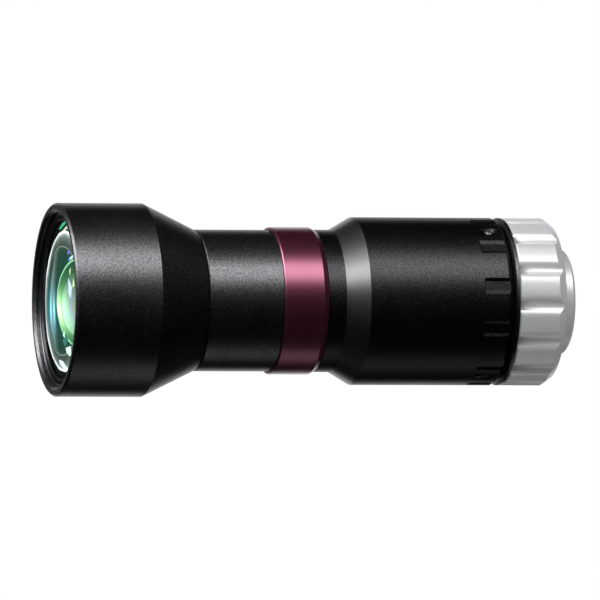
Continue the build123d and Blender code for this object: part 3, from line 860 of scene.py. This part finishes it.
def flute_outline():
    """One flute: a hollow arc, blended into the round land on both sides."""
    flute_x = REAR_R - FLUTE_DEPTH + FLUTE_FLOOR_R
    blend_r = REAR_R - FLUTE_BLEND_R
    reach = FLUTE_FLOOR_R + FLUTE_BLEND_R
    lean = math.acos((blend_r**2 + flute_x**2 - reach**2) / (2 * blend_r * flute_x))
    blend = Vector((blend_r * math.cos(lean), blend_r * math.sin(lean)))
    toward = (blend - Vector((flute_x, 0))) / reach
    sweep = math.atan2(toward.y, -toward.x)
    half = []
    for k in range(FLOOR_STEPS + 1):
        a = sweep * k / FLOOR_STEPS
        half.append(polar(flute_x - FLUTE_FLOOR_R * math.cos(a), FLUTE_FLOOR_R * math.sin(a)))
    first = math.atan2(-toward.y, -toward.x)
    for k in range(1, BLEND_STEPS + 1):
        a = first + (lean - first) * k / BLEND_STEPS
        half.append(polar(blend.x + FLUTE_BLEND_R * math.cos(a), blend.y + FLUTE_BLEND_R * math.sin(a)))
    step = 360 / FLUTE_COUNT
    edge = math.degrees(lean)
    width = step - 2 * edge
    land = [(edge + width * k / FLUTE_LANDS, REAR_R) for k in range(1, FLUTE_LANDS)]
    return [(-a, r) for a, r in reversed(half[1:])] + half + land


def mount_section(r):
    """The mount's section where the ring's outside is at radius r."""
    front_r = REAR_R - RING_FRONT_CHAMFER
    drop = REAR_R - r
    z_front = Z_RING + max(0.0, r - front_r)
    z_back = Z_FLANGE - RING_REAR_BEVEL + drop / RING_REAR_DROP * RING_REAR_BEVEL
    return soften(
        [
            (MOUNT_BORE_R, Z_RING, 0),
            (min(r, front_r), Z_RING, 0.08),
            (r, z_front, 0.08),
            (r, z_back, 0.15),
            (REAR_R - RING_REAR_DROP, Z_FLANGE, 0.12),
            (NOSE_R, Z_FLANGE, 0.05),
            (NOSE_R, Z_END - NOSE_CHAMFER, 0.1),
            (NOSE_R - NOSE_CHAMFER, Z_END, 0.1),
            (NOSE_BORE_R + NOSE_BORE_CHAMFER, Z_END, 0.06),
            (NOSE_BORE_R, Z_END - NOSE_BORE_CHAMFER, 0.06),
            (NOSE_BORE_R, Z_NOSE_WEB, 0.05),
            (CELL_CLEAR_R, Z_NOSE_WEB, 0),
            (CELL_CLEAR_R, Z_MOUNT_SEAT, 0),
            (MOUNT_BORE_R, Z_MOUNT_SEAT, 0),
        ]
    )


shell(
    "camera_mount_shell",
    [(a, mount_section(r)) for a, r in around(flute_outline(), FLUTE_COUNT, FLUTE_PHASE)],
    SILVER,
    "mount",
    "clear_anodised",
    "camera_mount",
)


# The front glass

Z_GLASS, GLASS_R, GLASS_CLEAR_R, GLASS_BULGE, GLASS_EDGE = 2.3, 19.75, 17.3, 1.8, 5.5
GLASS_BACK_CLEAR_R, GLASS_BACK_BULGE = 18.6, 1.0
ARC_STEPS, GLASS_EDGE_SOFT = 28, 0.05


def hollow(r, clear_r, bulge):
    """How far a spherical face lies behind its vertex, at radius r."""
    curve_r = (clear_r**2 + bulge**2) / (2 * bulge)
    return curve_r - math.sqrt(curve_r**2 - r**2)


def arc(z_vertex, toward, clear_r, bulge):
    """Points of a spherical face, clear edge first, vertex last; it bulges toward -1 or 1 along Z."""
    radii = [clear_r * (1 - k / ARC_STEPS) for k in range(ARC_STEPS + 1)]
    return [(r, z_vertex - toward * hollow(r, clear_r, bulge), 0) for r in radii]


front = arc(Z_GLASS - GLASS_BULGE, -1, GLASS_CLEAR_R, GLASS_BULGE)
rear = arc(Z_GLASS + GLASS_EDGE + GLASS_BACK_BULGE, 1, GLASS_BACK_CLEAR_R, GLASS_BACK_BULGE)
edge = [(GLASS_R, Z_GLASS, GLASS_EDGE_SOFT), (GLASS_R, Z_GLASS + GLASS_EDGE, GLASS_EDGE_SOFT)]
lathe("front_glass", front[::-1] + edge + rear, GLASS, "barrel", "coated_glass", "front_lens")


# A sheet just behind the front glass, painted with glowing reflections of the inner group's coated faces

GROUP_BEHIND, GLINTS_BEHIND = 0.15, 0.06
GROUP_R, GROUP_RINGS, GROUP_STEPS = 19.0, 24, 96


def behind_glass(x, y, gap):
    """The place, in metres, that lies the gap behind the front glass."""
    r = min(math.hypot(x, y), GLASS_CLEAR_R)
    z = Z_GLASS - GLASS_BULGE + gap + hollow(r, GLASS_CLEAR_R, GLASS_BULGE)
    return (x * MM, y * MM, z * MM)


def painted_face_behind_glass(name, look, body):
    """A thin face just behind the front glass, as wide as the glass, that carries painted reflections."""
    verts = [behind_glass(0, 0, GROUP_BEHIND)]
    for i in range(1, GROUP_RINGS + 1):
        out = GROUP_R * i / GROUP_RINGS
        for k in range(GROUP_STEPS):
            a = 2 * math.pi * k / GROUP_STEPS
            verts.append(behind_glass(out * math.cos(a), out * math.sin(a), GROUP_BEHIND))
    faces = [(1 + k, 1 + (k + 1) % GROUP_STEPS, 0) for k in range(GROUP_STEPS)]
    for i in range(GROUP_RINGS - 1):
        inner = 1 + i * GROUP_STEPS
        outer = inner + GROUP_STEPS
        for k in range(GROUP_STEPS):
            after = (k + 1) % GROUP_STEPS
            faces.append((outer + k, outer + after, inner + after, inner + k))
    mesh = bpy.data.meshes.new(name)
    mesh.from_pydata(verts, [], faces)
    mesh.materials.append(look)
    return fit(new_object(name, mesh), body, "inner_glass")


painted_face_behind_glass("painted_reflection_sheet", PAINTED_GROUP_REFLECTIONS, "barrel")


def glints(name, shapes, look, body):
    """Painted glints, small facets of reflected light: each is a colour and its corners in millimetres across
    the glass.
    """
    verts, faces, tints = [], [], []
    for tint, corners in shapes:
        faces.append(tuple(range(len(verts), len(verts) + len(corners))))
        verts += [behind_glass(x, y, GLINTS_BEHIND) for x, y in corners]
        tints.append(tint)
    mesh = bpy.data.meshes.new(name)
    mesh.from_pydata(verts, [], faces)
    layer = mesh.color_attributes.new("tint", "FLOAT_COLOR", "CORNER")
    for face, tint in zip(mesh.polygons, tints):
        for k in face.loop_indices:
            layer.data[k].color = (*tint, 1)
    mesh.materials.append(look)
    return fit(new_object(name, mesh), body, "inner_glass")


# Colours of the painted glints
WHITE, MINT = (0.80, 0.95, 1.0), (0.70, 1.0, 0.80)
PALE_GREEN, DEEP_TEAL = (0.70, 0.95, 0.75), (0.04, 0.16, 0.13)
YELLOW, STRAW, LILAC = (0.95, 0.95, 0.60), (0.90, 0.95, 0.60), (0.55, 0.62, 0.85)
VIOLET, BLUE, ICE = (0.20, 0.16, 0.75), (0.10, 0.30, 0.80), (0.80, 0.97, 1.0)
EMERALD, WARM_GREY = (0.05, 0.40, 0.22), (0.50, 0.52, 0.44)

glints(
    "group_painted_glints",
    [
        (WHITE, [(14.5, 2.3), (14.8, -1.5), (16.0, -3.4), (17.0, -3.9), (16.6, -1.0), (15.4, 2.0)]),
        (MINT, [(11.6, -5.6), (11.1, -9.4), (13.3, -9.2), (13.6, -7.7), (12.8, -6.0)]),
        (PALE_GREEN, [(8.5, -4.5), (7.5, -6.3), (9.2, -5.7)]),
        (DEEP_TEAL, [(8.0, -6.7), (9.6, -8.2), (11.4, -5.5), (10.0, -3.8)]),
        (YELLOW, [(-3.0, -12.4), (-5.2, -12.6), (-3.4, -13.4)]),
        (STRAW, [(-7.0, -9.7), (-7.8, -10.2), (-5.6, -10.4)]),
        (LILAC, [(-5.4, -9.2), (-3.0, -12.0), (-0.2, -11.5), (-1.6, -9.9)]),
        (VIOLET, [(-12.2, -7.9), (-11.2, -6.7), (-10.8, -7.1), (-11.4, -8.5)]),
        (BLUE, [(-10.6, -9.1), (-9.6, -8.1), (-9.2, -8.6), (-10.0, -9.6)]),
        (ICE, [(-10.8, -10.7), (-10.0, -9.3), (-9.5, -9.4), (-10.2, -11.0)]),
    ],
    PAINTED_GLINTS,
    "barrel",
)
# Painted glints near the rim of the glass
glints(
    "rim_painted_glints",
    [
        (EMERALD, [(-17.2, 5.0), (-18.4, 1.8), (-19.2, -1.4), (-18.6, -2.4), (-17.7, 0.8), (-16.8, 4.0)]),
        (WARM_GREY, [(-16.1, 2.9), (-18.3, -4.5), (-17.6, -6.6), (-17.4, -5.6)]),
    ],
    PAINTED_GLINTS,
    "barrel",
)


# The ring that holds the front glass

HOLD_R, HOLD_BORE_R, HOLD_CHAMFER = 20.3, 19.1, 0.35

lathe(
    "front_retaining_ring_shell",
    [
        (HOLD_BORE_R, Z_GLASS, 0),
        (HOLD_R, Z_GLASS, 0),
        (HOLD_R, Z_MOUTH, 0.05),
        (HOLD_BORE_R + HOLD_CHAMFER, Z_MOUTH, 0.05),
        (HOLD_BORE_R, Z_MOUTH + HOLD_CHAMFER, 0.05),
    ],
    INNER_BLACK,
    "barrel",
    "black_inner",
    "front_retaining_ring",
)


# Camera: the lens lies across the picture and its front rim is turned towards the camera

PHOTO_TILT = 14.5
PHOTO_ROLL = -0.25
PHOTO_WIDTH = 145.1 * MM
DISTANCE = 4.0
SENSOR_WIDTH, CAMERA_REACH = 36, 100
AIM = Vector((-0.2 * MM, 0.0, 61.2 * MM))

tilt = math.radians(PHOTO_TILT)
back = Vector((0, -math.cos(tilt), -math.sin(tilt)))
right = Vector((0, -math.sin(tilt), math.cos(tilt)))
up = Vector((-1, 0, 0))
roll = math.radians(PHOTO_ROLL)
level_right, level_up = right, up
right = level_right * math.cos(roll) - level_up * math.sin(roll)
up = level_up * math.cos(roll) + level_right * math.sin(roll)

lens = bpy.data.cameras.new("photo_camera")
lens.sensor_width = SENSOR_WIDTH
lens.lens = SENSOR_WIDTH * DISTANCE / PHOTO_WIDTH
lens.clip_end = CAMERA_REACH
camera = new_object("photo_camera", lens)
turn = camera.matrix_world.to_3x3()
turn.col[0], turn.col[1], turn.col[2] = right, up, back
camera.matrix_world = turn.to_4x4()
camera.location = AIM + back * DISTANCE
scene.camera = camera


# Studio: pale floor, white surroundings, three softboxes and black cards


def seen_rays(tree):
    """1 for camera, glossy and transmission rays, else 0."""
    rays = tree_node(tree, "ShaderNodeLightPath")
    total = rays.outputs["Is Camera Ray"]
    for kind in ("Is Glossy Ray", "Is Transmission Ray"):
        larger = tree_node(tree, "ShaderNodeMath", {0: total, 1: rays.outputs[kind]}, operation="MAXIMUM")
        total = larger.outputs[0]
    return total


def stage_mesh(name, verts, faces, material):
    mesh = bpy.data.meshes.new(name)
    mesh.from_pydata(verts, [], faces)
    mesh.materials.append(material)
    obj = new_object(name, mesh)
    return obj


FLOOR_HALF, FLOOR_GREY, FLOOR_GLOW = 20.0, 0.45, 0.72


def floor_material():
    """Pale paper that is near white to the eye and takes the object's shadow; clear from below."""
    mat = new_material("pale_floor")
    glow = math_node(mat, "MULTIPLY", seen_rays(mat.node_tree), FLOOR_GLOW)
    pale = node(mat, "ShaderNodeBsdfDiffuse", {"Color": (FLOOR_GREY, FLOOR_GREY, FLOOR_GREY, 1)})
    light = node(mat, "ShaderNodeEmission", {"Strength": glow})
    both = node(mat, "ShaderNodeAddShader", {0: pale.outputs[0], 1: light.outputs[0]})
    geo = node(mat, "ShaderNodeNewGeometry")
    clear = node(mat, "ShaderNodeBsdfTransparent")
    sides = {0: geo.outputs["Backfacing"], 1: both.outputs[0], 2: clear.outputs[0]}
    side = node(mat, "ShaderNodeMixShader", sides)
    node(mat, "ShaderNodeOutputMaterial", {"Surface": side.outputs[0]})
    return mat


CARD_CLOTH_MM = 3.0


def card_material():
    mat = new_material("black_card")
    cloth = noise(mat, CARD_CLOTH_MM)
    shade = ramp(mat, cloth.outputs["Fac"], [(0.3, 0.004), (0.7, 0.012)])
    dull = node(mat, "ShaderNodeBsdfDiffuse", {"Color": shade.outputs["Color"]})
    node(mat, "ShaderNodeOutputMaterial", {"Surface": dull.outputs[0]})
    return mat


def flat_square(name, z, half, material):
    corners = [(-half, -half, z), (half, -half, z), (half, half, z), (-half, half, z)]
    return stage_mesh(name, corners, [(0, 1, 2, 3)], material)


floor = flat_square("floor", 0, FLOOR_HALF, floor_material())
floor.visible_glossy = False
floor.visible_shadow = False

CARD = card_material()
CARD_R, CARD_LOW, CARD_HIGH, CARD_STEPS = 2.0, -2.4, 1.9, 24


def seen_in_reflections(obj):
    obj.visible_camera = False
    obj.visible_diffuse = False
    obj.visible_shadow = False


def curved_card(name, start, end, high=CARD_HIGH):
    """A card standing on an arc round the lens, from one azimuth to another in degrees."""
    verts = []
    for k in range(CARD_STEPS + 1):
        a = math.radians(start + (end - start) * k / CARD_STEPS)
        verts += [(CARD_R * math.cos(a), CARD_R * math.sin(a), z) for z in (CARD_LOW, high)]
    faces = [(2 * k, 2 * k + 1, 2 * k + 3, 2 * k + 2) for k in range(CARD_STEPS)]
    seen_in_reflections(stage_mesh(name, verts, faces, CARD))


curved_card("card_right", -121, 62)
curved_card("card_left", 118, 203)
curved_card("card_behind_low", 62, 118, high=-0.28)
seen_in_reflections(flat_square("card_above", CARD_HIGH, CARD_R, CARD))
seen_in_reflections(flat_square("card_below", CARD_LOW, CARD_R, CARD))

WORLD_LIGHT, WORLD_SEEN = 0.35, 1.0

world = bpy.data.worlds.new("studio")
scene.world = world
world.use_nodes = True
sky = world.node_tree
sky.nodes.clear()
levels = {"Value": seen_rays(sky), "To Min": WORLD_LIGHT, "To Max": WORLD_SEEN}
strength = tree_node(sky, "ShaderNodeMapRange", levels)
white = {"Color": (1, 1, 1, 1), "Strength": strength.outputs["Result"]}
surround = tree_node(sky, "ShaderNodeBackground", white)
tree_node(sky, "ShaderNodeOutputWorld", {0: surround.outputs[0]})


def softbox(name, place, aim, width, tall, radiance):
    """A soft light given by its brightness; watts follow from its area."""
    light = bpy.data.lights.new(name, "AREA")
    light.shape = "RECTANGLE"
    light.size = width
    light.size_y = tall
    light.energy = radiance * math.pi * width * tall
    obj = new_object(name, light)
    obj.location = place
    obj.rotation_euler = (Vector(aim) - Vector(place)).to_track_quat("-Z", "Y").to_euler()
    obj.visible_camera = False


def beside(azimuth, distance, height):
    """A place at that azimuth in degrees round the lens."""
    a = math.radians(azimuth)
    return (distance * math.cos(a), distance * math.sin(a), height)


softbox("key_softbox", beside(-138, 1.5, -0.45), (0, 0, -0.45), 0.75, 2.6, 3.0)
softbox("fill_softbox", beside(7, 1.6, 0.4), (0, 0, 0.4), 0.65, 1.6, 0.35)
softbox("low_softbox", (-1.0, 0.10, -1.5), (0, 0, 0), 0.9, 0.9, 9.0)

scene.view_settings.view_transform = "Standard"
